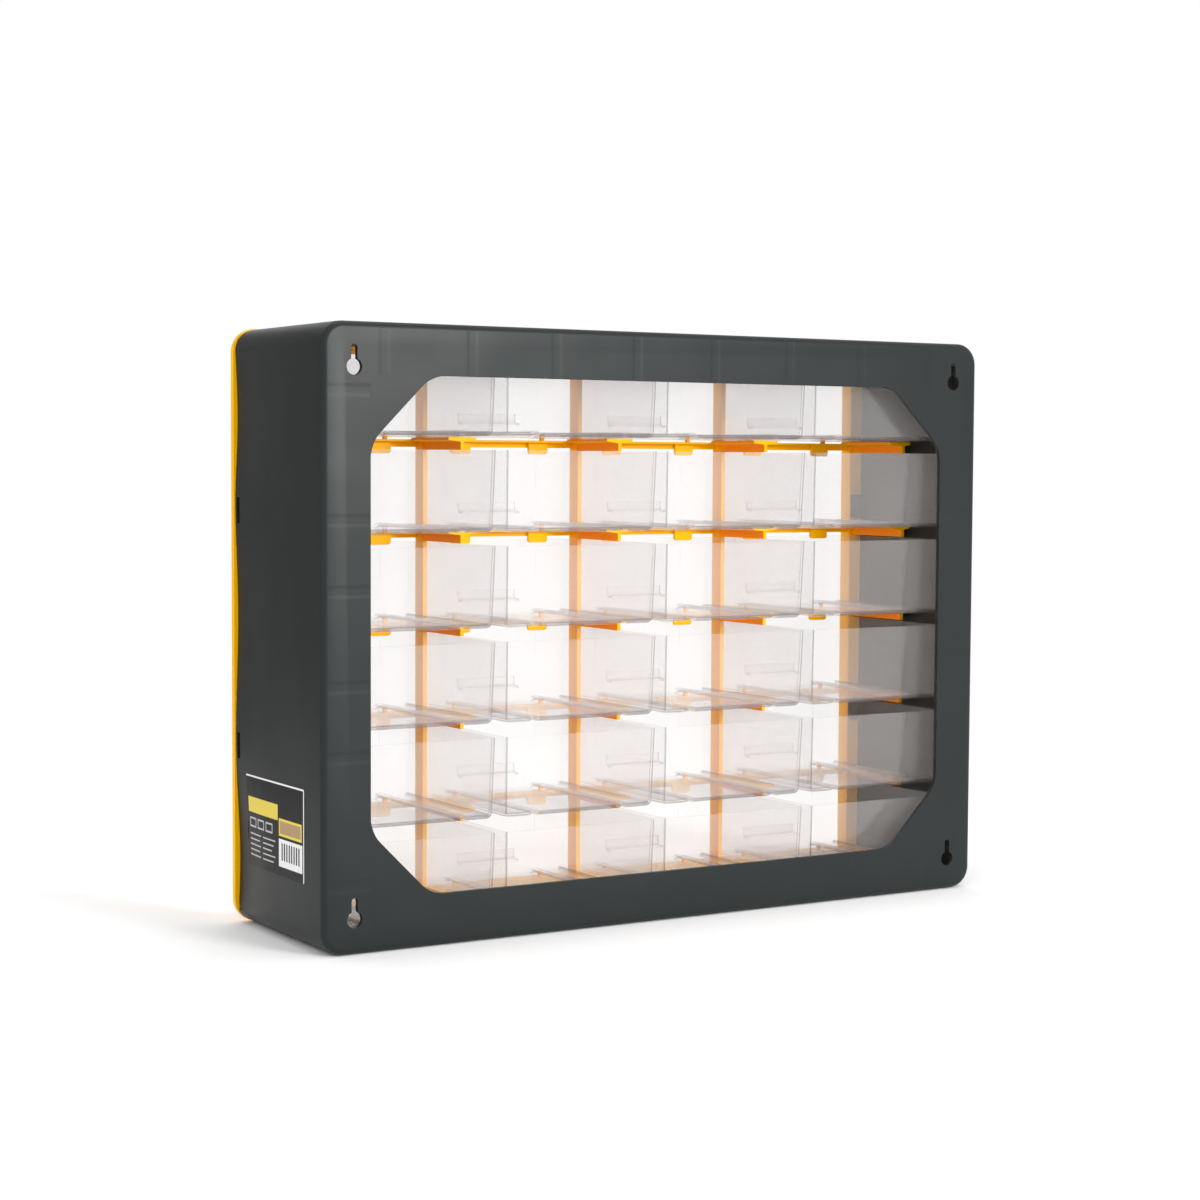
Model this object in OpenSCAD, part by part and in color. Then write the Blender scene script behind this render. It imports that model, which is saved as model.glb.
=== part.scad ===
// Wall-mounted parts bin cabinet: a moulded housing with an open rear window, a one-piece
// front frame with T-section runners, and 24 clear drawers in four columns of six rows.
// X runs along the width, Y from the front (-) to the wall (+), Z up from the underside.
// Millimetres. The origin is the middle of the footprint, on the surface it stands on.

/* [Cabinet] */
// Width over the front frame
cabinet_w = 500; // [496:1:520]
// Height over the front frame
cabinet_h = 380; // [378:1:400]
// Depth from the frame's front face to the back panel
cabinet_d = 137; // [130:1:160]

/* [Front frame] */
// Distance between two column centres
col_pitch = 119; // [116:0.5:119]
// Distance between two row floors
row_pitch = 60; // [58:0.5:60]
// Height of the lowest sill above the underside
sill_h = 10.85; // [10:0.05:12]
// Width of the upright posts between columns
post_w = 3.2; // [2.5:0.1:4]
// Height of the crossbars between rows
bar_h = 4.9; // [4:0.1:6]
// Depth of the grid of posts and crossbars
grid_d = 10.9; // [9:0.1:12]
// How far the grid stands back from the lip's front face
grid_set = 5.5; // [3:0.1:6]
// Depth of the frame's outer lip, which covers the housing's front edge
lip_d = 5.7; // [4:0.1:7]
// How far the lip stands proud of the housing
lip_proud = 0.6; // [0.3:0.1:1.5]

/* [Runners] */
// Length of the runners behind the grid
runner_l = 52; // [30:1:70]
// Width of a runner's flange
flange_w = 20; // [16:0.1:24]
// Thickness of a runner's web
web_t = 2.4; // [1.6:0.1:3]
// Height of the flange above the sill
flange_rise = 1.1; // [0.8:0.1:1.5]

/* [Drawers] */
// Width of a drawer over its rim
drawer_w = 113; // [104:0.5:113.5]
// Height of a drawer
drawer_h = 51.5; // [44:0.5:52]
// Length of a drawer from its front face to its rear wall
drawer_l = 122.3; // [100:0.1:124]
// Thickness of the clear walls
clear_t = 1.6; // [1.2:0.1:2.2]
// How far each side wall leans in from rim to floor
side_lean = 1.8; // [0:0.1:3]
// How far the drawer fronts stand proud of the frame
front_proud = 1; // [0:0.1:2]
// Reach of the finger pull in front of the drawer
pull_reach = 8; // [6:0.5:12]
// Width of the finger pull
pull_w = 44; // [30:1:60]

/* [Housing] */
// Thickness of the side walls
wall_t = 3; // [2.4:0.1:3]
// Thickness of the back panel
back_t = 3; // [2.4:0.1:4]
// Outer radius of the upright corners, seen from behind
corner_r = 14.5; // [12:0.5:20]
// Rounding between the back panel and the walls
edge_r = 4; // [2:0.5:5]
// Width of the rear window
window_w = 435; // [300:1:440]
// Height of the rear window
window_h = 316; // [220:1:320]
// Cut-off at each corner of the rear window, along the side
window_cut = 41; // [30:1:50]
// Rounding where a cut-off meets a straight side
window_r = 30; // [15:1:34]

/* [Keyholes] */
// Distance between the left and right keyholes
keyhole_span_x = 456.6; // [440:0.2:460]
// Distance between the upper and lower keyholes
keyhole_span_z = 331.2; // [325:0.2:335]
// Height of the lower screw-head holes above the underside
keyhole_low = 21.2; // [19:0.2:24]
// Diameter of the screw-head hole
keyhole_d = 10; // [8:0.5:11]
// Width of the slot above it
keyhole_slot = 4; // [3:0.5:5]
// Height from the screw-head hole to the slot's end centre
keyhole_rise = 11.2; // [8:0.2:12]

/* [Label] */
// Width of the sticker on the right-hand wall
label_w = 89; // [60:1:100]
// Height of the sticker
label_h = 57.5; // [40:0.5:70]
// Height of its lower edge above the underside
label_low = 40.7; // [30:0.1:120]

/* [Hidden] */
$fn = 64;
COLS = 4;
ROWS = 6;
DRAWERS = [for (row = [1:ROWS]) for (col = [1:COLS]) str("drawer_r", row, "c", col)];

// How far a cutting body reaches past what it cuts
past = 1;
shell_colour = "#3d4444";
frame_colour = "#ffb400";
clear_colour = [0.93, 0.93, 0.94, 0.45];

// Depth stations, front to back
plug_d = 5.2;
y_back = (cabinet_d + front_proud + pull_reach) / 2;
y_front = y_back - cabinet_d;
y_seam = y_front + lip_d;
y_plug = y_seam + plug_d;
y_grid = y_front + grid_set;
y_grid_end = y_grid + grid_d;
y_runner = y_grid_end + runner_l;
y_drawer = y_front - front_proud;

// The shell sits inside the lip's outline and flush with it underneath
shell_w = cabinet_w - 2 * lip_proud;
shell_h = cabinet_h - lip_proud;
inner_x = shell_w / 2 - wall_t;
plug_gap = 0.3;
plug_x = inner_x - plug_gap;
lip_edge_r = 2;
seam_step = 0.8;

// One cell of the grid, and the field of all cells
cell_w = col_pitch - post_w;
cell_h = row_pitch - bar_h;
field_w = COLS * col_pitch - post_w;
field_h = ROWS * row_pitch - bar_h;
bar_skin = 2.2;
bar_cap = 1.4;
tab_w = 14.6;
tab_t = 2;
frame_bite = 0.4;
tab_drop = 4.4;
tab_set = 3.3;
tab_r = 2;
tab_x = col_pitch / 4;
guide_x = 33.5;
guide_w = 2.6;
guide_l = 2.5;
guide_h = 3;
guide_set = 2.5;

// Runner section
flange_root = 2.9;
flange_tip = 1.7;
web_drop = 6.9;
wall_web_set = 5.9;

// Drawer section
slide_gap = 0.2;
front_t = 2;
front_bite = 0.5;
rear_lean = 2.5;
low_r = 4;
rear_r = 4.5;
heel_r = 3;
groove_w = 5.4;
groove_h = 2.4;
pull_t = 1.8;
pull_low = 9;
card_w = 70;
card_h = 20;
card_low = 27;
card_lip = 1.2;

// Shell details
wall_bite = 0.5;
catch_h = 16.5;
catch_z = 75;
catch_d = 6.4;
catch_in = 10;
catch_gap = 0.2;
slot_set = 8.5;
slot_w = 4.5;
gusset_t = 1.8;
gusset_leg = 10;
gusset_top_xs = [0.25, 0.75, 1.25];
gusset_side_zs = [28.5, 71, 148.5];
label_t = 0.25;
label_set = 1.8;

// Points along an arc about c, from the angle a0 to a1
function arc(c, r, a0, a1, steps = 10) =
    [for (i = [0:steps]) let (a = a0 + (a1 - a0) * i / steps) c + r * [cos(a), sin(a)]];
function flip(points) = [for (i = [len(points) - 1:-1:0]) [-points[i][0], points[i][1]]];

function col_x(col) = (col - (COLS + 1) / 2) * col_pitch;
function sill_z(row) = sill_h + (ROWS - row) * row_pitch;

// Web of the runner along each side wall, and the inner edge of its flange
wall_runner_x = plug_x - wall_web_set;
wall_flange_x = (COLS * col_pitch - flange_w) / 2;

// ---- plane helpers -------------------------------------------------------------

// Extrudes an X-Z outline from y0 to y1
module along_y(y0, y1) {
    translate([0, y1, 0]) rotate([90, 0, 0]) linear_extrude(y1 - y0) children();
}

// Extrudes a Y-Z outline from x0 to x1
module along_x(x0, x1) {
    translate([x0, 0, 0]) rotate([90, 0, 90]) linear_extrude(x1 - x0) children();
}

// Rounded rectangle standing on z0, centred on X
module round_rect(w, h, r, z0 = 0) {
    translate([-w / 2 + r, z0]) square([w - 2 * r, h]);
    translate([-w / 2, z0 + r]) square([w, h - 2 * r]);
    for (sx = [-1, 1], z = [z0 + r, z0 + h - r])
        translate([sx * (w / 2 - r), z]) circle(r);
}

// Section through the rim of a slab: r wide, from y0 to y1, rounded by e at the outer y1 corner
module rim_section(r, y0, y1, e) {
    translate([0, y0]) square([r - e, y1 - y0]);
    translate([0, y0]) square([r, y1 - e - y0]);
    translate([r - e, y1 - e]) circle(e);
}

// Upright slab from y0 to y1 standing on z = 0, with corners of radius r and its y1 rim rounded by e
module soft_slab(w, h, r, y0, y1, e) {
    ax = w / 2 - r;
    az = h / 2 - r;
    translate([0, 0, h / 2]) {
        translate([-ax, y0, -az]) cube([2 * ax, y1 - y0, 2 * az]);
        for (side = [0, 1]) {
            mirror([side, 0, 0]) translate([ax, 0, -az]) linear_extrude(2 * az) rim_section(r, y0, y1, e);
            mirror([0, 0, side]) translate([-ax, 0, az]) rotate([90, 0, 90])
                linear_extrude(2 * ax) mirror([1, -1]) rim_section(r, y0, y1, e);
            for (end = [0, 1]) mirror([side, 0, 0]) mirror([0, 0, end])
                translate([ax, 0, az]) rotate([-90, -90, 0])
                    rotate_extrude(angle = 90) rim_section(r, y0, y1, e);
        }
    }
}

// ---- housing -------------------------------------------------------------------

// Octagonal window with its eight corners rounded
module window_outline() {
    a = window_w / 2;
    b = window_h / 2;
    k = window_r * tan(22.5);
    d = k / sqrt(2);
    corners = [[a, b - window_cut], [a - window_cut, b]];
    translate([0, cabinet_h / 2]) {
        for (side = [0, 1], end = [0, 1]) mirror([side, 0]) mirror([0, end]) {
            translate([a - window_r, corners[0][1] - k]) circle(window_r);
            translate([corners[1][0] - k, b - window_r]) circle(window_r);
        }
        polygon([for (q = [[1, 1], [-1, 1], [-1, -1], [1, -1]])
            let (side = [
                [a * q[0], (corners[0][1] - k) * q[1]],
                [(a - d) * q[0], (corners[0][1] + d) * q[1]],
                [(corners[1][0] + d) * q[0], (b - d) * q[1]],
                [(corners[1][0] - k) * q[0], b * q[1]]
            ])
            for (i = [0:3]) side[q[0] * q[1] > 0 ? i : 3 - i]]);
    }
}

module keyhole() {
    circle(d = keyhole_d);
    translate([-keyhole_slot / 2, 0]) square([keyhole_slot, keyhole_rise]);
    translate([0, keyhole_rise]) circle(d = keyhole_slot);
}

// Stiffening triangle in the corner between a wall and the back panel
module gusset() {
    along_x(-gusset_t / 2, gusset_t / 2)
        polygon([
            [wall_bite, wall_bite], [-gusset_leg, wall_bite], [-gusset_leg, 0],
            [0, -gusset_leg], [wall_bite, -gusset_leg]
        ]);
}

// Catch on a side wall that holds the front frame from behind, seen at +X
module catch() {
    translate([inner_x - catch_in, y_plug + catch_gap, -catch_h / 2])
        cube([catch_in + wall_bite, catch_d, catch_h]);
}

// Slot through the side wall beside a catch
module catch_slot() {
    translate([inner_x - past, y_front + slot_set, -catch_h / 2])
        cube([wall_t + 2 * past, slot_w, catch_h]);
}

module housing() {
    color(shell_colour) {
        difference() {
            soft_slab(shell_w, shell_h, corner_r, y_seam, y_back, edge_r);
            along_y(y_seam - past, y_back - back_t)
                round_rect(2 * inner_x, shell_h - 2 * wall_t, corner_r - wall_t, wall_t);
            along_y(y_back - back_t - past, y_back + past) window_outline();
            along_y(y_back - back_t - past, y_back + past)
                for (sx = [-1, 1], z = [0, keyhole_span_z])
                    translate([sx * keyhole_span_x / 2, keyhole_low + z]) keyhole();
            along_y(y_seam - past, y_seam + seam_step) difference() {
                round_rect(shell_w + 2 * past, shell_h + 2 * past, corner_r, -past);
                round_rect(shell_w - 2 * seam_step, shell_h - 2 * seam_step, corner_r - seam_step, seam_step);
            }
            for (side = [0, 1], sz = [-1, 1]) mirror([side, 0, 0])
                translate([0, 0, cabinet_h / 2 + sz * catch_z]) catch_slot();
        }
        for (side = [0, 1], sz = [-1, 1]) mirror([side, 0, 0])
            translate([0, 0, cabinet_h / 2 + sz * catch_z]) catch();
        for (sx = [-1, 1], n = gusset_top_xs) translate([sx * n * col_pitch, y_back - back_t, 0]) {
            translate([0, 0, shell_h - wall_t]) gusset();
            translate([0, 0, wall_t]) mirror([0, 0, 1]) gusset();
        }
        for (side = [0, 1], sz = [-1, 1], dz = gusset_side_zs) mirror([side, 0, 0])
            translate([inner_x, y_back - back_t, cabinet_h / 2 + sz * dz]) rotate([0, 90, 0]) gusset();
    }
}

// ---- front frame ---------------------------------------------------------------

// One cell's opening, with the hollow behind the crossbar above it
module cell_cut() {
    translate([-cell_w / 2, y_grid - past, 0]) cube([cell_w, grid_d + 2 * past, cell_h]);
    translate([-cell_w / 2, y_grid + bar_skin, 0]) cube([cell_w, grid_d, row_pitch - bar_cap]);
}

// Stop tab that hangs inside a drawer and catches its rear wall
module stop_tab() {
    top = row_pitch - bar_cap + frame_bite;
    low = cell_h - tab_drop;
    along_y(y_grid + tab_set, y_grid + tab_set + tab_t) {
        translate([-tab_w / 2, low + tab_r]) square([tab_w, top - low - tab_r]);
        translate([-tab_w / 2 + tab_r, low]) square([tab_w - 2 * tab_r, tab_r]);
        for (sx = [-1, 1]) translate([sx * (tab_w / 2 - tab_r), low + tab_r]) circle(tab_r);
    }
}

// Small guide on the sill that runs in a drawer's groove
module sill_guide() {
    translate([-guide_w / 2, y_grid + guide_set, -frame_bite])
        cube([guide_w, guide_l, guide_h + frame_bite]);
}

// Outline of the frame's plug, which fits inside the housing
module plug_outline() {
    round_rect(2 * plug_x, shell_h - 2 * (wall_t + plug_gap),
        corner_r - wall_t - plug_gap, wall_t + plug_gap);
}

// T-section runner from y0 back, its sill at z = 0 and its flange running from x0 to x1
module runner(x0, x1, y0) {
    low = flange_rise - flange_root;
    tip = flange_rise - flange_tip;
    along_y(y0 - frame_bite, y_runner) polygon([
        [x0, flange_rise], [x1, flange_rise], [x1, tip], [web_t / 2, low],
        [web_t / 2, -web_drop], [-web_t / 2, -web_drop], [-web_t / 2, low], [x0, tip]
    ]);
}

module front_frame() {
    color(frame_colour) {
        difference() {
            union() {
                mirror([0, 1, 0])
                    soft_slab(cabinet_w, cabinet_h, corner_r + lip_proud, -y_seam, -y_front, lip_edge_r);
                along_y(y_seam - frame_bite, y_plug) plug_outline();
                // the grid reaches back past the plug
                translate([plug_gap - field_w / 2, y_plug - frame_bite, sill_z(ROWS) - bar_h])
                    cube([field_w - 2 * plug_gap, y_grid_end - y_plug + frame_bite, field_h + 2 * bar_h]);
            }
            translate([-field_w / 2, y_front - past, sill_z(ROWS)])
                cube([field_w, grid_set + past, field_h]);
            for (row = [1:ROWS], col = [1:COLS]) translate([col_x(col), 0, sill_z(row)]) cell_cut();
        }
        for (row = [1:ROWS], col = [1:COLS]) translate([col_x(col), 0, sill_z(row)])
            for (sx = [-1, 1]) {
                translate([sx * tab_x, 0, 0]) stop_tab();
                translate([sx * guide_x, 0, 0]) sill_guide();
            }
        for (row = [1:ROWS], gap = [1:COLS - 1])
            translate([(gap - COLS / 2) * col_pitch, 0, sill_z(row)])
                runner(-flange_w / 2, flange_w / 2, y_grid_end);
        // the runners along the walls end at the plug's outline, also in its rounded corners
        intersection() {
            for (row = [1:ROWS], side = [0, 1]) mirror([side, 0, 0])
                translate([wall_runner_x, 0, sill_z(row)])
                    runner(wall_flange_x - wall_runner_x, plug_x + past - wall_runner_x, y_plug);
            along_y(y_seam, y_runner + past) plug_outline();
        }
    }
}

// ---- drawers -------------------------------------------------------------------

// Front view of a drawer: leaning sides, rounded lower corners, inset by t
module tub_front(t) {
    lean = atan(side_lean / drawer_h);
    r = low_r - t;
    foot = drawer_w / 2 - side_lean - t / cos(lean);
    rim = drawer_w / 2 - t / cos(lean);
    over = 0.05;
    // the arc touches the floor and the leaning side
    cx = foot + side_lean * (t + r) / drawer_h - r / cos(lean);
    half = concat(
        arc([cx, t + r], r, -90, -lean),
        [[rim + side_lean * over, drawer_h * (1 + over)]]
    );
    polygon(concat(half, flip(half)));
}

// Plan of a drawer: square in front, rounded upright edges behind
module tub_plan(t) {
    half = drawer_w / 2 - t;
    r = rear_r - t;
    front = t > 0 ? front_t : 0;
    long = drawer_l - t;
    translate([-half, front]) square([2 * half, long - r - front]);
    translate([-half + r, front]) square([2 * half - 2 * r, long - front]);
    for (sx = [-1, 1]) translate([sx * (half - r), long - r]) circle(r);
}

// Side view of a drawer: the rear wall leans in towards the floor
module tub_side(t) {
    front = t > 0 ? front_t : 0;
    heel = drawer_l - t - rear_lean;
    over = 0.05;
    r = heel_r - t;
    polygon([
        [front, t], [heel - r, t], [heel, t + r],
        [heel + rear_lean * (1 + over), drawer_h * (1 + over)], [front, drawer_h * (1 + over)]
    ]);
    translate([heel - r, t + r]) circle(r);
}

module tub_solid(t) {
    top = t > 0 ? drawer_h + past : drawer_h;
    intersection() {
        along_y(0, drawer_l) tub_front(t);
        along_x(-drawer_w / 2, drawer_w / 2) tub_side(t);
        linear_extrude(top) tub_plan(t);
    }
}

// Round-backed groove under the floor, and the raised back of it inside the drawer
module groove(w, h, y0, y1) {
    along_y(y0, y1) {
        translate([-w / 2, -past]) square([w, h - w / 2 + past]);
        translate([0, h - w / 2]) circle(w / 2);
    }
}

// Finger pull: a shelf under the fingers that turns up at its outer end
module pull() {
    turn = pull_reach / 2;
    along_x(-pull_w / 2, pull_w / 2) {
        translate([-(pull_reach - turn), 0]) square([pull_reach - turn + front_bite, pull_t]);
        translate([-(pull_reach - turn), turn]) intersection() {
            difference() {
                circle(turn);
                circle(turn - pull_t);
            }
            translate([-turn, -turn]) square([turn, turn]);
        }
        translate([-pull_reach, turn]) square([pull_t, turn]);
    }
}

// Slim ledges that hold a paper card on the drawer's front
module card_holder() {
    for (sx = [-1, 1])
        translate([sx * (card_w + card_lip) / 2 - card_lip / 2, -card_lip / 2, card_low])
            cube([card_lip, card_lip / 2 + front_bite, card_h]);
    translate([-card_w / 2 - card_lip, -card_lip / 2, card_low - card_lip])
        cube([card_w + 2 * card_lip, card_lip / 2 + front_bite, card_lip]);
}

module drawer(row, col) {
    color(clear_colour)
        translate([col_x(col), y_drawer, sill_z(row) + flange_rise + slide_gap]) {
            difference() {
                tub_solid(0);
                difference() {
                    tub_solid(clear_t);
                    for (sx = [-1, 1]) translate([sx * guide_x, 0, 0])
                        groove(groove_w + 2 * clear_t, groove_h + clear_t, 0, drawer_l);
                }
                for (sx = [-1, 1]) translate([sx * guide_x, 0, 0])
                    groove(groove_w, groove_h, front_t, drawer_l + past);
            }
            translate([0, 0, pull_low]) pull();
            card_holder();
        }
}

// ---- label ---------------------------------------------------------------------

module label() {
    color("#1c1c1c")
        translate([shell_w / 2, y_back - (cabinet_d + label_w) / 2 - label_set, label_low])
            cube([label_t, label_w, label_h]);
}

housing();
front_frame();
label();
for (row = [1:ROWS], col = [1:COLS])
    drawer(row, col);
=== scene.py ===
import math

import bmesh
import bpy
from mathutils import Matrix, Vector


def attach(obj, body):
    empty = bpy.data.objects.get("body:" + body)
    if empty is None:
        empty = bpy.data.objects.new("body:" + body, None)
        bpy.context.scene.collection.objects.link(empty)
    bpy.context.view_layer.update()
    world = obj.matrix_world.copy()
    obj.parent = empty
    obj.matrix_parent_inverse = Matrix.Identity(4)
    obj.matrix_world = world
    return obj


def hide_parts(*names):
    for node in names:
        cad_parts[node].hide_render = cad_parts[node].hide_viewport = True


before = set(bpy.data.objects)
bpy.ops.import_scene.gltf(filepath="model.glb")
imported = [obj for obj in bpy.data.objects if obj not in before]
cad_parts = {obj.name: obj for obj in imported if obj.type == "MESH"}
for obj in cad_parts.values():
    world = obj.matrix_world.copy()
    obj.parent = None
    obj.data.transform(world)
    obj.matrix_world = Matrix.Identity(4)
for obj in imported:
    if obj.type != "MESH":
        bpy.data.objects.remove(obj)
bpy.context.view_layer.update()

# ---------------------------------------------------------------- measures, in metres
CABINET_H = 0.380
BACK_Y = 0.073
FRONT_Y = BACK_Y - 0.137
COL_PITCH = 0.119
ROW_PITCH = 0.060
SILL = 0.01085
COLS = 4
ROWS = 6
DRAWER_RISE = 0.0013
DRAWER_Y = FRONT_Y - 0.001
MIDDLE_Z = CABINET_H / 2
WINDOW_W = 0.435
WINDOW_H = 0.316
# how far the side gussets sit above and below the middle
GUSSET_RISES = (0.0285, 0.071, 0.1485)
MARK_HALF = 0.0045
MARK_DEPTH = 0.00008


# ---------------------------------------------------------------- node helpers
def new_material(name):
    mat = bpy.data.materials.new(name)
    mat.use_nodes = True
    mat.node_tree.nodes.clear()
    return mat, mat.node_tree.nodes, mat.node_tree.links


def object_coordinates(nodes, links, scale=(1, 1, 1)):
    coords = nodes.new("ShaderNodeTexCoord")
    mapping = nodes.new("ShaderNodeMapping")
    mapping.inputs["Scale"].default_value = scale
    links.new(coords.outputs["Object"], mapping.inputs["Vector"])
    return mapping.outputs["Vector"]


def noise(nodes, links, vector, scale, detail=2.0, rough=0.5):
    tex = nodes.new("ShaderNodeTexNoise")
    tex.inputs["Scale"].default_value = scale
    tex.inputs["Detail"].default_value = detail
    tex.inputs["Roughness"].default_value = rough
    links.new(vector, tex.inputs["Vector"])
    return tex.outputs["Fac"]


def spread(nodes, links, value, low, high):
    """Maps a 0.3 to 0.7 noise to the range low to high."""
    span = nodes.new("ShaderNodeMapRange")
    span.inputs["From Min"].default_value = 0.3
    span.inputs["From Max"].default_value = 0.7
    span.inputs["To Min"].default_value = low
    span.inputs["To Max"].default_value = high
    links.new(value, span.inputs["Value"])
    return span.outputs["Result"]


def two_tones(nodes, links, value, dark, light):
    ramp = nodes.new("ShaderNodeValToRGB")
    ramp.color_ramp.elements[0].position = 0.3
    ramp.color_ramp.elements[0].color = (*dark, 1)
    ramp.color_ramp.elements[1].position = 0.7
    ramp.color_ramp.elements[1].color = (*light, 1)
    links.new(value, ramp.inputs["Fac"])
    return ramp.outputs["Color"]


def bump(nodes, links, height, distance, strength=1.0, normal=None):
    node = nodes.new("ShaderNodeBump")
    node.inputs["Distance"].default_value = distance
    node.inputs["Strength"].default_value = strength
    links.new(height, node.inputs["Height"])
    if normal is not None:
        links.new(normal, node.inputs["Normal"])
    return node.outputs["Normal"]


def moulded_plastic(name, dark, light, rough, grain, waviness, edge, shine):
    """Injection-moulded plastic: fine grain, slow waves from shrinkage and softened edges."""
    mat, nodes, links = new_material(name)
    shader = nodes.new("ShaderNodeBsdfPrincipled")
    out = nodes.new("ShaderNodeOutputMaterial")
    where = object_coordinates(nodes, links)
    cloud = noise(nodes, links, where, 9.0, 3.0)
    fine = noise(nodes, links, where, 1400.0, 1.0)
    wave = noise(nodes, links, where, 16.0, 1.0)
    links.new(two_tones(nodes, links, cloud, dark, light), shader.inputs["Base Color"])
    links.new(spread(nodes, links, cloud, rough - 0.03, rough + 0.03), shader.inputs["Roughness"])
    soft = nodes.new("ShaderNodeBevel")
    soft.samples = 6
    soft.inputs["Radius"].default_value = edge
    slow = bump(nodes, links, wave, waviness, 1.0, soft.outputs["Normal"])
    links.new(bump(nodes, links, fine, grain, 1.0, slow), shader.inputs["Normal"])
    shader.inputs["Specular IOR Level"].default_value = shine
    links.new(shader.outputs["BSDF"], out.inputs["Surface"])
    return mat


def press_in_sink_marks(mat):
    """Shallow hollows on the back, over the gussets: upright ones above and below the window, level ones beside it."""
    nodes, links = mat.node_tree.nodes, mat.node_tree.links
    at = nodes.new("ShaderNodeSeparateXYZ")
    links.new(object_coordinates(nodes, links), at.inputs["Vector"])

    def maths(kind, first, second=None):
        node = nodes.new("ShaderNodeMath")
        node.operation = kind
        for socket, value in zip(node.inputs, (first, second)):
            if isinstance(value, float):
                socket.default_value = value
            elif value is not None:
                links.new(value, socket)
        return node.outputs["Value"]

    def hollow(value, middle):
        fall = nodes.new("ShaderNodeMapRange")
        fall.interpolation_type = "SMOOTHSTEP"
        fall.inputs["From Min"].default_value = MARK_HALF
        fall.inputs["From Max"].default_value = MARK_HALF / 3
        links.new(maths("ABSOLUTE", maths("SUBTRACT", value, middle)), fall.inputs["Value"])
        return fall.outputs["Result"]

    sideways = maths("ABSOLUTE", at.outputs["X"])
    upwards = maths("ABSOLUTE", maths("SUBTRACT", at.outputs["Z"], MIDDLE_Z))
    upright = maths("MULTIPLY", hollow(maths("PINGPONG", sideways, COL_PITCH / 2), COL_PITCH / 4),
                    maths("GREATER_THAN", upwards, WINDOW_H / 2))
    level = hollow(upwards, GUSSET_RISES[0])
    for rise in GUSSET_RISES[1:]:
        level = maths("ADD", level, hollow(upwards, rise))
    level = maths("MULTIPLY", level, maths("GREATER_THAN", sideways, WINDOW_W / 2))
    marks = maths("MULTIPLY", maths("ADD", upright, level), maths("GREATER_THAN", at.outputs["Y"], BACK_Y - 0.001))
    shader = next(node for node in nodes if node.type == "BSDF_PRINCIPLED")
    under = shader.inputs["Normal"].links[0].from_socket
    links.new(bump(nodes, links, marks, -MARK_DEPTH, 1.0, under), shader.inputs["Normal"])


def frame_plastic():
    """Yellow plastic, with painted shade: a deeper orange painted on the sides of the thin webs that run back into the
    cabinet, where they lie in shade.
    """
    mat = moulded_plastic("frame_yellow", (0.97, 0.47, 0.0), (0.97, 0.51, 0.001), 0.34, 0.00001, 0.0003, 0.0005, 0.15)
    nodes, links = mat.node_tree.nodes, mat.node_tree.links
    base = next(node for node in nodes if node.type == "BSDF_PRINCIPLED").inputs["Base Color"]
    yellow = base.links[0].from_socket
    geometry = nodes.new("ShaderNodeNewGeometry")
    facing = nodes.new("ShaderNodeSeparateXYZ")
    links.new(geometry.outputs["Normal"], facing.inputs["Vector"])
    sideways = nodes.new("ShaderNodeMath")
    sideways.operation = "ABSOLUTE"
    links.new(facing.outputs["X"], sideways.inputs[0])
    place = nodes.new("ShaderNodeSeparateXYZ")
    links.new(object_coordinates(nodes, links), place.inputs["Vector"])
    # painted shade grows with depth behind the front, up to 0.85
    painted_shade_depth = nodes.new("ShaderNodeMapRange")
    painted_shade_depth.inputs["From Min"].default_value = FRONT_Y + 0.006
    painted_shade_depth.inputs["From Max"].default_value = FRONT_Y + 0.022
    painted_shade_depth.inputs["To Max"].default_value = 0.85
    links.new(place.outputs["Y"], painted_shade_depth.inputs["Value"])
    painted_shade_share = nodes.new("ShaderNodeMath")
    painted_shade_share.operation = "MULTIPLY"
    links.new(sideways.outputs["Value"], painted_shade_share.inputs[0])
    links.new(painted_shade_depth.outputs["Result"], painted_shade_share.inputs[1])
    # painted shade: sideways-facing web faces deep in the cabinet are mixed toward a deeper orange
    mix = nodes.new("ShaderNodeMix")
    mix.data_type = "RGBA"
    mix.inputs["B"].default_value = (1.0, 0.26, 0.0, 1)
    links.new(painted_shade_share.outputs["Value"], mix.inputs["Factor"])
    links.new(yellow, mix.inputs["A"])
    links.new(mix.outputs["Result"], base)
    return mat


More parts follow.
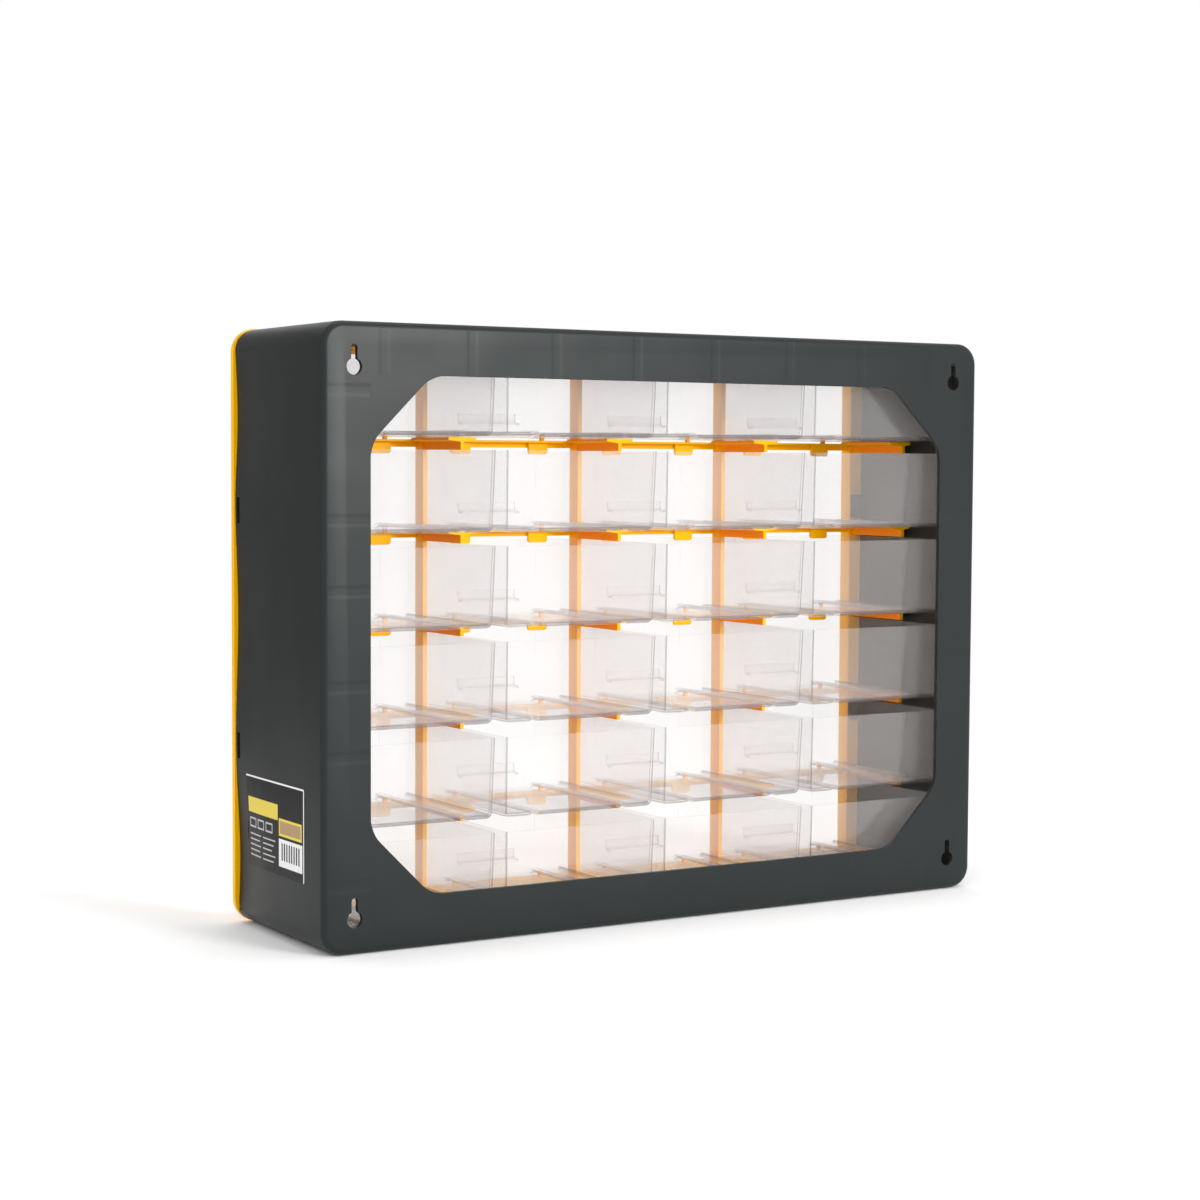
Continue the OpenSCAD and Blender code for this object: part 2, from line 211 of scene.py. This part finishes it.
def clear_plastic(name, tint, turned_tint, haze_least):
    """Clear polystyrene: a little milky, mirrors more at a glance, and darker where it turns away."""
    mat, nodes, links = new_material(name)
    where = object_coordinates(nodes, links)
    ripple = bump(nodes, links, noise(nodes, links, where, 22.0, 1.0), 0.00001)
    cloud = noise(nodes, links, where, 14.0, 2.0)
    turned = nodes.new("ShaderNodeLayerWeight")
    turned.inputs["Blend"].default_value = 0.5
    steep = nodes.new("ShaderNodeMath")
    steep.operation = "POWER"
    steep.inputs[1].default_value = 5.0
    links.new(turned.outputs["Facing"], steep.inputs[0])

    depth = nodes.new("ShaderNodeValToRGB")
    depth.color_ramp.elements[0].position = 0.55
    depth.color_ramp.elements[0].color = (*tint, 1)
    depth.color_ramp.elements[1].position = 0.97
    depth.color_ramp.elements[1].color = (*turned_tint, 1)
    links.new(turned.outputs["Facing"], depth.inputs["Fac"])
    through = nodes.new("ShaderNodeBsdfTransparent")
    links.new(depth.outputs["Color"], through.inputs["Color"])

    haze = nodes.new("ShaderNodeBsdfDiffuse")
    haze.inputs["Color"].default_value = (0.88, 0.875, 0.875, 1)
    glow = nodes.new("ShaderNodeBsdfTranslucent")
    glow.inputs["Color"].default_value = (0.88, 0.875, 0.875, 1)
    both = nodes.new("ShaderNodeMixShader")
    both.inputs["Fac"].default_value = 0.5
    links.new(haze.outputs["BSDF"], both.inputs[1])
    links.new(glow.outputs["BSDF"], both.inputs[2])
    milky = nodes.new("ShaderNodeMixShader")
    links.new(spread(nodes, links, cloud, haze_least, haze_least + 0.015), milky.inputs["Fac"])
    links.new(through.outputs["BSDF"], milky.inputs[1])
    links.new(both.outputs["Shader"], milky.inputs[2])

    gloss = nodes.new("ShaderNodeBsdfGlossy")
    gloss.inputs["Color"].default_value = (1, 1, 1, 1)
    gloss.inputs["Roughness"].default_value = 0.05
    links.new(ripple, gloss.inputs["Normal"])
    mirror = nodes.new("ShaderNodeMath")
    mirror.operation = "MULTIPLY_ADD"
    mirror.inputs[1].default_value = 0.5
    mirror.inputs[2].default_value = 0.03
    links.new(steep.outputs["Value"], mirror.inputs[0])
    shiny = nodes.new("ShaderNodeMixShader")
    links.new(mirror.outputs["Value"], shiny.inputs["Fac"])
    links.new(milky.outputs["Shader"], shiny.inputs[1])
    links.new(gloss.outputs["BSDF"], shiny.inputs[2])

    path = nodes.new("ShaderNodeLightPath")
    open_to_light = nodes.new("ShaderNodeBsdfTransparent")
    open_to_light.inputs["Color"].default_value = (0.97, 0.97, 0.97, 1)
    mix = nodes.new("ShaderNodeMixShader")
    out = nodes.new("ShaderNodeOutputMaterial")
    links.new(path.outputs["Is Shadow Ray"], mix.inputs["Fac"])
    links.new(shiny.outputs["Shader"], mix.inputs[1])
    links.new(open_to_light.outputs["BSDF"], mix.inputs[2])
    links.new(mix.outputs["Shader"], out.inputs["Surface"])
    return mat


def dress(node, mat):
    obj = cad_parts[node]
    obj.data.materials.clear()
    obj.data.materials.append(mat)


# ---------------------------------------------------------------- finishes
SHELL_GREY = moulded_plastic("anthracite_shell", (0.0105, 0.0135, 0.0135), (0.0125, 0.0155, 0.0155), 0.40, 0.00003,
                             0.0012, 0.0005, 0.25)
press_in_sink_marks(SHELL_GREY)
FRAME_YELLOW = frame_plastic()
CLEAR = clear_plastic("drawer_clear", (0.988, 0.985, 0.986), (0.88, 0.875, 0.878), 0.076)
# darker clear plastic for folds and pull edges: painted shade lines along the bends
CLEAR_FOLD_PAINTED_SHADE = clear_plastic("drawer_clear_fold_painted_shade", (0.72, 0.715, 0.72), (0.60, 0.60, 0.61), 0.08)
INKS = {
    "black": moulded_plastic("sticker_black", (0.004, 0.004, 0.004), (0.006, 0.006, 0.006), 0.30, 0.000004, 0.0001, 0.0002, 0.1),
    "white": moulded_plastic("sticker_white", (0.78, 0.78, 0.78), (0.80, 0.80, 0.80), 0.30, 0.000004, 0.0001, 0.0002, 0.3),
    "yellow": moulded_plastic("sticker_yellow", (0.72, 0.55, 0.03), (0.75, 0.58, 0.04), 0.30, 0.000004, 0.0001, 0.0002, 0.3),
    "tan": moulded_plastic("sticker_tan", (0.30, 0.17, 0.06), (0.40, 0.25, 0.11), 0.30, 0.000004, 0.0001, 0.0002, 0.3),
    "grey": moulded_plastic("sticker_grey", (0.42, 0.42, 0.42), (0.45, 0.45, 0.45), 0.30, 0.000004, 0.0001, 0.0002, 0.3),
}


# ---------------------------------------------------------------- modelling helpers
def deselect():
    if bpy.context.object and bpy.context.object.mode != "OBJECT":
        bpy.ops.object.mode_set(mode="OBJECT")
    bpy.ops.object.select_all(action="DESELECT")


def block(name, low, high):
    deselect()
    size = [h - l for l, h in zip(low, high)]
    middle = [(l + h) / 2 for l, h in zip(low, high)]
    bpy.ops.mesh.primitive_cube_add(size=1, location=middle, scale=size)
    piece = bpy.context.active_object
    piece.name = name
    bpy.ops.object.transform_apply(location=True, rotation=True, scale=True)
    return piece


def select_in(piece, kind, test):
    """Goes to edit mode and selects the vertices, edges or faces that pass the test."""
    if piece.mode != "EDIT":
        deselect()
        piece.select_set(True)
        bpy.context.view_layer.objects.active = piece
        bpy.ops.object.mode_set(mode="EDIT")
    bpy.ops.mesh.select_mode(type=kind)
    bpy.ops.mesh.select_all(action="DESELECT")
    mesh = bmesh.from_edit_mesh(piece.data)
    for element in {"VERT": mesh.verts, "EDGE": mesh.edges, "FACE": mesh.faces}[kind]:
        if test(element):
            element.select_set(True)
    mesh.select_flush_mode()
    bmesh.update_edit_mesh(piece.data)


def leave_edit():
    bpy.ops.object.mode_set(mode="OBJECT")


def slice_at(axis, value):
    """Cuts the selected faces with a plane across the axis."""
    across = [0, 0, 0]
    point = [0, 0, 0]
    across[axis] = 1
    point[axis] = value
    bpy.ops.mesh.bisect(plane_co=point, plane_no=across)


def pull_out(move):
    bpy.ops.mesh.extrude_region_move(TRANSFORM_OT_translate={"value": move})


def shift(move):
    bpy.ops.transform.translate(value=move)


def apply_modifier(piece, kind, **settings):
    if piece.mode != "OBJECT":
        leave_edit()
    deselect()
    piece.select_set(True)
    bpy.context.view_layer.objects.active = piece
    modifier = piece.modifiers.new(kind.lower(), kind)
    for key, value in settings.items():
        setattr(modifier, key, value)
    bpy.ops.object.modifier_apply(modifier=modifier.name)


def all_at(axis, value, near=1e-5):
    return lambda element: all(abs(v.co[axis] - value) < near for v in element.verts)


def clean(piece, flat=0.5, merge=0.00002):
    select_in(piece, "FACE", lambda f: True)
    bpy.ops.mesh.remove_doubles(threshold=merge)
    bpy.ops.mesh.dissolve_limited(angle_limit=math.radians(flat))
    bpy.ops.mesh.select_all(action="SELECT")
    bpy.ops.mesh.normals_make_consistent(inside=False)
    leave_edit()


def soften(piece, width, segments=2, limit=32):
    """Rounds the sharp edges and keeps the flat faces flat in the shading."""
    deselect()
    piece.select_set(True)
    bpy.context.view_layer.objects.active = piece
    bpy.ops.object.shade_smooth()
    apply_modifier(piece, "BEVEL", width=width, segments=segments, limit_method="ANGLE",
                   angle_limit=math.radians(limit), harden_normals=True)


def cut_out(piece, cutters):
    for cutter in cutters:
        apply_modifier(piece, "BOOLEAN", operation="DIFFERENCE", solver="EXACT", object=cutter)
        bpy.data.objects.remove(cutter, do_unlink=True)


def join(pieces):
    deselect()
    for piece in pieces:
        piece.select_set(True)
    bpy.context.view_layer.objects.active = pieces[0]
    bpy.ops.object.join()
    return pieces[0]


# ---------------------------------------------------------------- drawers
BIN_W = 0.113
BIN_L = 0.1223
BIN_H = 0.0515
BIN_WALL = 0.0016
SIDE_LEAN = 0.0010
REAR_LEAN = 0.0025
GROOVE_X = 0.0335
GROOVE_R = 0.0027
GROOVE_SUNK = -0.0003
PULL_X = 0.022
PULL_TURN = 0.004
CARD_X = 0.035
CARD_LIP = 0.0012
# how far a face leans to count as a fold that gets painted shade, at -X and at +X
FOLD_LEANS = (0.4, 0.6)


def groove_arch(v):
    """Height of the floor's underside over a groove."""
    off = abs(abs(v.co.x) - GROOVE_X)
    if off > GROOVE_R or v.co.y < 0.0025 or v.co.z > 0.0028:
        return v.co.z
    return max(v.co.z, math.sqrt(GROOVE_R ** 2 - off ** 2) + GROOVE_SUNK)


def is_pull_edge(face):
    """The thin edges of the finger pull: its two ends and its turned-up rim."""
    end = abs(face.normal.x) > 0.9
    rim = face.normal.z > 0.9 and face.center.z > 0.012
    return face.center.y < -0.001 and (end or rim)


def model_drawer():
    tub = block("tub", (-BIN_W / 2, 0, 0), (BIN_W / 2, BIN_L, BIN_H))
    select_in(tub, "VERT", lambda v: v.co.z < 1e-5)
    bpy.ops.transform.resize(value=((BIN_W - 2 * SIDE_LEAN) / BIN_W, 1, 1), center_override=(0, 0, 0))
    select_in(tub, "VERT", lambda v: v.co.z < 1e-5 and v.co.y > BIN_L / 2)
    shift((0, -REAR_LEAN, 0))

    def rounded(edge):
        a, b = (v.co for v in edge.verts)
        middle = (a + b) / 2
        upright = abs(a.z - b.z) > BIN_H * 0.9 and middle.y > BIN_L * 0.9
        low = max(a.z, b.z) < 1e-5 and (abs(middle.x) > BIN_W * 0.4 or middle.y > BIN_L * 0.9)
        return upright or low

    select_in(tub, "EDGE", rounded)
    bpy.ops.mesh.bevel(offset=0.004, segments=5, profile=0.5, affect="EDGES")
    select_in(tub, "FACE", all_at(2, BIN_H))
    bpy.ops.mesh.delete(type="FACE")

    # two round-backed grooves under the floor
    select_in(tub, "FACE", lambda f: True)
    slice_at(1, 0.0026)
    for side in (-1, 1):
        for part in (-0.993, -0.815, -0.52, -0.185, 0.185, 0.52, 0.815, 0.993):
            select_in(tub, "FACE", lambda f: f.calc_center_median().z < BIN_H / 4)
            slice_at(0, side * GROOVE_X + part * GROOVE_R)
    leave_edit()
    for v in tub.data.vertices:
        v.co.z = groove_arch(v)
    apply_modifier(tub, "SOLIDIFY", thickness=BIN_WALL, offset=-1, use_even_offset=True,
                   use_quality_normals=True)

    # card ledges and finger pull on the front face
    def front(face):
        return all(abs(v.co.y) < 1e-6 for v in face.verts)

    def patch(x0, x1, z0, z1):
        def test(face):
            at = face.calc_center_median()
            return front(face) and x0 < abs(at.x) < x1 and z0 < at.z < z1
        return test

    for z in (0.009, 0.0108, 0.027 - CARD_LIP, 0.027, 0.047):
        select_in(tub, "FACE", front)
        slice_at(2, z)
    for x in (PULL_X, CARD_X, CARD_X + CARD_LIP):
        for side in (-1, 1):
            select_in(tub, "FACE", front)
            slice_at(0, side * x)
    lower = patch(-1, CARD_X + CARD_LIP, 0.027 - CARD_LIP, 0.027)
    upright = patch(CARD_X, CARD_X + CARD_LIP, 0.027, 0.047)
    select_in(tub, "FACE", lambda f: lower(f) or upright(f))
    pull_out((0, -0.0006, 0))
    select_in(tub, "FACE", patch(-1, PULL_X, 0.009, 0.0108))
    pull_out((0, -PULL_TURN, 0))
    bpy.ops.mesh.spin(steps=5, angle=math.pi / 2, center=(0, -PULL_TURN, 0.009 + PULL_TURN), axis=(1, 0, 0))
    pull_out((0, 0, 0.004))
    select_in(tub, "VERT", lambda v: v.co.z > BIN_H - 0.0003)
    bpy.ops.transform.resize(value=(1, 1, 0), center_override=(0, 0, BIN_H))
    clean(tub)
    soften(tub, 0.0003)
    tub.data.materials.append(CLEAR)
    tub.data.materials.append(CLEAR_FOLD_PAINTED_SHADE)
    # faces at the bends and the pull's edges get the darker clear plastic: painted shade lines
    for face in tub.data.polygons:
        lean = sorted(abs(part) for part in face.normal)
        folded = lean[1] > FOLD_LEANS[face.center.x > 0]
        face.material_index = 1 if folded or is_pull_edge(face) else 0
    return tub


# ---------------------------------------------------------------- housing
SHELL_W = 0.4988
SHELL_H = 0.3794
SHELL_WALL = 0.003
SEAM_Y = FRONT_Y + 0.0057
SEAM_STEP = 0.0008
CORNER_R = 0.0145
# where the side walls bow in between their catches: height, depth of the bow, half its length
WALL_BOWS = ((0.325, 0.0019, 0.062), (0.198, 0.0018, 0.080), (0.042, 0.0026, 0.074))
BOW_REACH = 0.055


def along(axis, least):
    return lambda edge: abs(edge.verts[0].co[axis] - edge.verts[1].co[axis]) > least


def wall_bow(v):
    """How far a point of a side wall, or of the sticker on it, is drawn in."""
    start = SHELL_W / 2 - CORNER_R
    outer = abs(v.co.x) > SHELL_W / 2 - SHELL_WALL / 2 or v.co.z < 0.002 or v.co.z > SHELL_H - 0.002
    away = v.co.y - SEAM_Y
    if abs(v.co.x) < start or away > BOW_REACH:
        return 0
    depth = sum(deep * math.cos(math.pi / 2 * (v.co.z - at) / half) ** 2
                for at, deep, half in WALL_BOWS if abs(v.co.z - at) < half)
    depth *= math.cos(math.pi / 2 * away / BOW_REACH) ** 2
    depth *= min(1, (abs(v.co.x) - start) / (CORNER_R if outer else CORNER_R - SHELL_WALL))
    if not outer and v.co.y < FRONT_Y + 0.0115:
        depth = min(depth, 0.0001)
    return depth


def model_window():
    window = block("window", (-WINDOW_W / 2, BACK_Y - 0.008, MIDDLE_Z - WINDOW_H / 2),
                   (WINDOW_W / 2, BACK_Y + 0.008, MIDDLE_Z + WINDOW_H / 2))
    select_in(window, "EDGE", along(1, 0.01))
    bpy.ops.mesh.bevel(offset=0.041, segments=1, affect="EDGES")
    select_in(window, "EDGE", along(1, 0.01))
    bpy.ops.mesh.bevel(offset=0.0085, segments=7, profile=0.5, affect="EDGES")
    leave_edit()
    return window


def model_keyholes():
    heads, slots = [], []
    for side in (-1, 1):
        for low in (0.0212, 0.3524):
            deselect()
            bpy.ops.mesh.primitive_cylinder_add(vertices=36, radius=0.005, depth=0.016, rotation=(math.pi / 2, 0, 0),
                                                location=(side * 0.2283, BACK_Y, low))
            bpy.ops.object.transform_apply(location=True, rotation=True, scale=True)
            heads.append(bpy.context.active_object)
            slot = block("slot", (side * 0.2283 - 0.002, BACK_Y - 0.009, low),
                         (side * 0.2283 + 0.002, BACK_Y + 0.009, low + 0.0132))
            select_in(slot, "EDGE", lambda e: along(1, 0.01)(e) and e.verts[0].co.z > low + 0.01)
            bpy.ops.mesh.bevel(offset=0.00199, segments=6, profile=0.5, affect="EDGES")
            leave_edit()
            slots.append(slot)
    return [join(heads), join(slots)]


def model_catch_slots():
    slots = []
    for side in (-1, 1):
        for z in (MIDDLE_Z - 0.075, MIDDLE_Z + 0.075):
            slots.append(block("slot", (side * 0.248 - 0.003, FRONT_Y + 0.0085, z - 0.00825),
                               (side * 0.248 + 0.003, FRONT_Y + 0.013, z + 0.00825)))
    return join(slots)


def model_gusset(low, high, edge_test):
    gusset = block("gusset", low, high)
    select_in(gusset, "EDGE", edge_test)
    bpy.ops.mesh.bevel(offset=0.0092, segments=1, affect="EDGES")
    leave_edit()
    soften(gusset, 0.0002)
    return gusset


def model_stiffeners():
    """Gussets behind the back panel's edges, and the four catches."""
    made = []
    inner = BACK_Y - SHELL_WALL
    top = SHELL_H - SHELL_WALL
    wall = SHELL_W / 2 - SHELL_WALL
    thin = 0.0009
    for side in (-1, 1):
        for step in (0.25, 0.75, 1.25):
            x = side * step * COL_PITCH
            made.append(model_gusset((x - thin, inner - 0.01, top - 0.01), (x + thin, inner + 0.0004, top + 0.0004),
                                     lambda e: along(0, 0.0005)(e) and e.verts[0].co.y < inner - 0.009 and e.verts[0].co.z < top - 0.009))
            made.append(model_gusset((x - thin, inner - 0.01, SHELL_WALL - 0.0004), (x + thin, inner + 0.0004, SHELL_WALL + 0.01),
                                     lambda e: along(0, 0.0005)(e) and e.verts[0].co.y < inner - 0.009 and e.verts[0].co.z > SHELL_WALL + 0.009))
        for up in (-1, 1):
            for off in GUSSET_RISES:
                z = MIDDLE_Z + up * off
                ends = sorted((side * (wall - 0.01), side * (wall + 0.0004)))
                made.append(model_gusset((ends[0], inner - 0.01, z - thin), (ends[1], inner + 0.0004, z + thin),
                                         lambda e: along(2, 0.0005)(e) and e.verts[0].co.y < inner - 0.009 and abs(e.verts[0].co.x) < wall - 0.009))
            z = MIDDLE_Z + up * 0.075
            ends = sorted((side * (wall - 0.01), side * (wall + 0.0004)))
            catch = block("catch", (ends[0], FRONT_Y + 0.0111, z - 0.00825), (ends[1], FRONT_Y + 0.0175, z + 0.00825))
            select_in(catch, "EDGE", lambda e: along(2, 0.01)(e) and e.verts[0].co.y > FRONT_Y + 0.015 and abs(e.verts[0].co.x) < wall - 0.005)
            bpy.ops.mesh.bevel(offset=0.004, segments=1, affect="EDGES")
            leave_edit()
            soften(catch, 0.0003)
            made.append(catch)
    return made


def model_housing():
    shell = block("shell", (-SHELL_W / 2, SEAM_Y + SEAM_STEP, 0), (SHELL_W / 2, BACK_Y, SHELL_H))
    select_in(shell, "EDGE", along(1, 0.05))
    bpy.ops.mesh.bevel(offset=CORNER_R, segments=10, profile=0.5, affect="EDGES")
    select_in(shell, "EDGE", all_at(1, BACK_Y))
    bpy.ops.mesh.bevel(offset=0.004, segments=5, profile=0.5, affect="EDGES")
    select_in(shell, "FACE", all_at(1, SEAM_Y + SEAM_STEP))
    bpy.ops.mesh.inset(thickness=SEAM_STEP)
    pull_out((0, -SEAM_STEP, 0))
    bpy.ops.mesh.inset(thickness=SHELL_WALL - SEAM_STEP)
    pull_out((0, BACK_Y - SHELL_WALL - SEAM_Y, 0))

    # the side walls bow in at the seam, between the catches
    edge = SHELL_W / 2 - CORNER_R
    for step in range(1, 7):
        select_in(shell, "FACE", lambda f: abs(f.calc_center_median().x) > edge + 0.0001)
        slice_at(1, SEAM_Y + 0.0005 + BOW_REACH * (step / 6) ** 1.4)
    for step in range(1, 36):
        select_in(shell, "FACE", lambda f: abs(f.normal.x) > 0.98 and abs(f.calc_center_median().x) > edge)
        slice_at(2, CORNER_R + (SHELL_H - 2 * CORNER_R) * step / 36)
    leave_edit()
    for v in shell.data.vertices:
        v.co.x -= math.copysign(wall_bow(v), v.co.x)
    select_in(shell, "FACE", lambda f: True)
    bpy.ops.mesh.normals_make_consistent(inside=False)
    leave_edit()
    cut_out(shell, [model_window()] + model_keyholes() + [model_catch_slots()])
    clean(shell, flat=0.05, merge=0.000005)
    soften(shell, 0.0004)
    return join([shell] + model_stiffeners())


# ---------------------------------------------------------------- sticker
STICKER_X = SHELL_W / 2
STICKER_Y = (-0.0418, 0.0472)
STICKER_Z = (0.0407, 0.0982)
# plain printed blocks: left, right, top and bottom as parts of the sticker's width and height, and ink
PRINT = [
    (0.000, 1.000, 0.000, 0.020, "white"), (0.985, 1.000, 0.000, 1.000, "white"),
    (0.030, 0.560, 0.240, 0.410, "yellow"),
    (0.580, 0.960, 0.380, 0.570, "yellow"), (0.598, 0.942, 0.408, 0.542, "tan"),
    (0.580, 0.970, 0.600, 0.900, "white"),
]
for box in range(3):
    left = 0.05 + 0.15 * box
    PRINT += [(left, left + 0.12, 0.465, 0.575, "grey"), (left + 0.012, left + 0.108, 0.485, 0.555, "black")]
for line in range(5):
    top = 0.64 + 0.058 * line
    PRINT += [(0.05, 0.26 - 0.02 * (line % 2), top, top + 0.016, "grey"), (0.30, 0.52 - 0.03 * (line % 3), top, top + 0.016, "grey")]
for bar in range(8):
    left = 0.625 + 0.04 * bar
    PRINT.append((left, left + 0.02, 0.640, 0.830, "black"))


def model_sticker(inks):
    low_y, high_y = STICKER_Y
    low_z, high_z = STICKER_Z
    film = block("sticker", (STICKER_X, low_y, low_z), (STICKER_X + 0.00025, high_y, high_z))
    select_in(film, "EDGE", along(0, 0.0001))
    bpy.ops.mesh.bevel(offset=0.0012, segments=3, affect="EDGES")
    face_x = STICKER_X + 0.00025
    for u in sorted({u for patch in PRINT for u in patch[:2] if 0 < u < 1}):
        select_in(film, "FACE", all_at(0, face_x, 1e-6))
        slice_at(1, low_y + u * (high_y - low_y))
    for w in sorted({w for patch in PRINT for w in patch[2:4] if 0 < w < 1}):
        select_in(film, "FACE", all_at(0, face_x, 1e-6))
        slice_at(2, high_z - w * (high_z - low_z))
    leave_edit()
    names = list(inks)
    for ink in names:
        film.data.materials.append(inks[ink])
    for face in film.data.polygons:
        at = face.center
        if at.x < face_x - 1e-6:
            continue
        u = (at.y - low_y) / (high_y - low_y)
        w = (high_z - at.z) / (high_z - low_z)
        for left, right, top, bottom, ink in PRINT:
            if left < u < right and top < w < bottom:
                face.material_index = names.index(ink)
    for v in film.data.vertices:
        v.co.x -= wall_bow(v)
    select_in(film, "FACE", lambda f: True)
    bpy.ops.mesh.dissolve_limited(angle_limit=math.radians(0.5), delimit={"MATERIAL"})
    bpy.ops.mesh.select_all(action="SELECT")
    bpy.ops.mesh.normals_make_consistent(inside=False)
    leave_edit()
    return film


# ---------------------------------------------------------------- pieces in place
def place(piece, node, body, slot, mat=None):
    if mat is not None:
        piece.data.materials.clear()
        piece.data.materials.append(mat)
    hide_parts(node)
    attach(piece, body)


def fit_drawers():
    pattern = model_drawer()
    for row in range(1, ROWS + 1):
        for col in range(1, COLS + 1):
            tub = bpy.data.objects.new(f"tub_r{row}c{col}", pattern.data.copy())
            bpy.context.scene.collection.objects.link(tub)
            sill = SILL + (ROWS - row) * ROW_PITCH
            spot = ((col - (COLS + 1) / 2) * COL_PITCH, DRAWER_Y, sill + DRAWER_RISE)
            tub.data.transform(Matrix.Translation(spot))
            place(tub, f"drawer_r{row}c{col}", f"bin_r{row}c{col}", "drawer_clear")
    bpy.data.objects.remove(pattern, do_unlink=True)


fit_drawers()
place(model_housing(), "housing", "cabinet", "housing_plastic", SHELL_GREY)
place(model_sticker(INKS), "label", "cabinet", "label_film")
dress("front_frame", FRAME_YELLOW)


# ---------------------------------------------------------------- camera
camera_data = bpy.data.cameras.new("camera")
camera_data.sensor_width = 36.0
camera_data.lens = 72.28
camera_data.shift_y = 0.00605
camera_data.clip_start = 0.05
camera = bpy.data.objects.new("camera", camera_data)
bpy.context.scene.collection.objects.link(camera)
CAMERA_RIGHT = Vector((-0.85336, 0.52128, 0.00519))
CAMERA_UP = Vector((-0.02681, -0.05383, 0.99819))
CAMERA_BACK = Vector((0.52062, 0.85168, 0.05992))
CAMERA_AT = Vector((0.85086, 1.37193, 0.29616))
turn = Matrix((CAMERA_RIGHT, CAMERA_UP, CAMERA_BACK)).transposed()
camera.matrix_world = Matrix.Translation(CAMERA_AT) @ turn.to_4x4()
bpy.context.scene.camera = camera


# ---------------------------------------------------------------- floor, world and lamps
def white_floor():
    bpy.ops.object.select_all(action="DESELECT")
    bpy.ops.mesh.primitive_plane_add(size=40, location=(0, 0, -0.0005))
    floor = bpy.context.active_object
    floor.name = "floor"
    mat, nodes, links = new_material("floor_white")
    paper = nodes.new("ShaderNodeBsdfDiffuse")
    paper.inputs["Color"].default_value = (0.9, 0.9, 0.9, 1)
    glow = nodes.new("ShaderNodeEmission")
    glow.inputs["Color"].default_value = (1, 1, 1, 1)
    coords = nodes.new("ShaderNodeTexCoord")
    length = nodes.new("ShaderNodeVectorMath")
    length.operation = "LENGTH"
    links.new(coords.outputs["Object"], length.inputs[0])
    fade = nodes.new("ShaderNodeMapRange")
    fade.inputs["From Min"].default_value = 0.3
    fade.inputs["From Max"].default_value = 1.1
    links.new(length.outputs["Value"], fade.inputs["Value"])
    mix = nodes.new("ShaderNodeMixShader")
    out = nodes.new("ShaderNodeOutputMaterial")
    links.new(fade.outputs["Result"], mix.inputs["Fac"])
    links.new(paper.outputs["BSDF"], mix.inputs[1])
    links.new(glow.outputs["Emission"], mix.inputs[2])
    links.new(mix.outputs["Shader"], out.inputs["Surface"])
    floor.data.materials.append(mat)


def white_world():
    world = bpy.data.worlds.new("studio")
    bpy.context.scene.world = world
    world.use_nodes = True
    nodes, links = world.node_tree.nodes, world.node_tree.links
    nodes.clear()
    seen = nodes.new("ShaderNodeBackground")
    seen.inputs["Color"].default_value = (1, 1, 1, 1)
    seen.inputs["Strength"].default_value = 1.0
    ambient = nodes.new("ShaderNodeBackground")
    ambient.inputs["Color"].default_value = (1, 1, 1, 1)
    ambient.inputs["Strength"].default_value = 0.9
    path = nodes.new("ShaderNodeLightPath")
    either = nodes.new("ShaderNodeMath")
    either.operation = "MAXIMUM"
    any_of = nodes.new("ShaderNodeMath")
    any_of.operation = "MAXIMUM"
    mix = nodes.new("ShaderNodeMixShader")
    out = nodes.new("ShaderNodeOutputWorld")
    links.new(path.outputs["Is Camera Ray"], either.inputs[0])
    links.new(path.outputs["Is Transmission Ray"], either.inputs[1])
    links.new(either.outputs["Value"], any_of.inputs[0])
    links.new(path.outputs["Is Glossy Ray"], any_of.inputs[1])
    links.new(any_of.outputs["Value"], mix.inputs["Fac"])
    links.new(ambient.outputs["Background"], mix.inputs[1])
    links.new(seen.outputs["Background"], mix.inputs[2])
    links.new(mix.outputs["Shader"], out.inputs["Surface"])


def softbox(name, at, aim, size, power, shows):
    lamp = bpy.data.lights.new(name, "AREA")
    lamp.size = size
    lamp.energy = power
    obj = bpy.data.objects.new(name, lamp)
    bpy.context.scene.collection.objects.link(obj)
    obj.location = at
    obj.rotation_euler = (Vector(aim) - Vector(at)).to_track_quat("-Z", "Y").to_euler()
    obj.visible_camera = False
    obj.visible_transmission = False
    obj.visible_glossy = shows


def dark_flag():
    """A dark board beside the set, seen only by reflections: it keeps the side wall deep."""
    bpy.ops.object.select_all(action="DESELECT")
    bpy.ops.mesh.primitive_plane_add(size=1.0, location=(0.58, -0.62, 0.36), rotation=(math.radians(90), 0, math.radians(24)))
    flag = bpy.context.active_object
    flag.name = "flag"
    mat, nodes, links = new_material("flag_black")
    felt = nodes.new("ShaderNodeBsdfDiffuse")
    felt.inputs["Color"].default_value = (0.25, 0.25, 0.25, 1)
    out = nodes.new("ShaderNodeOutputMaterial")
    links.new(felt.outputs["BSDF"], out.inputs["Surface"])
    flag.data.materials.append(mat)
    flag.visible_camera = False
    flag.visible_diffuse = False
    flag.visible_transmission = False
    flag.visible_shadow = False


white_floor()
dark_flag()
white_world()
softbox("key", (-0.5, 2.0, 0.75), (0.05, 0, 0.25), 0.6, 32, True)
softbox("fill", (1.5, 1.9, 1.0), (0.05, 0, 0.2), 1.0, 10, False)
softbox("top", (0, 0.2, 2.4), (0, 0, 0), 1.6, 8, True)
softbox("front", (-0.7, -2.2, 1.2), (0, 0, 0.2), 1.6, 12, False)

bpy.context.scene.view_settings.view_transform = "Standard"
bpy.context.scene.cycles.transparent_max_bounces = 64
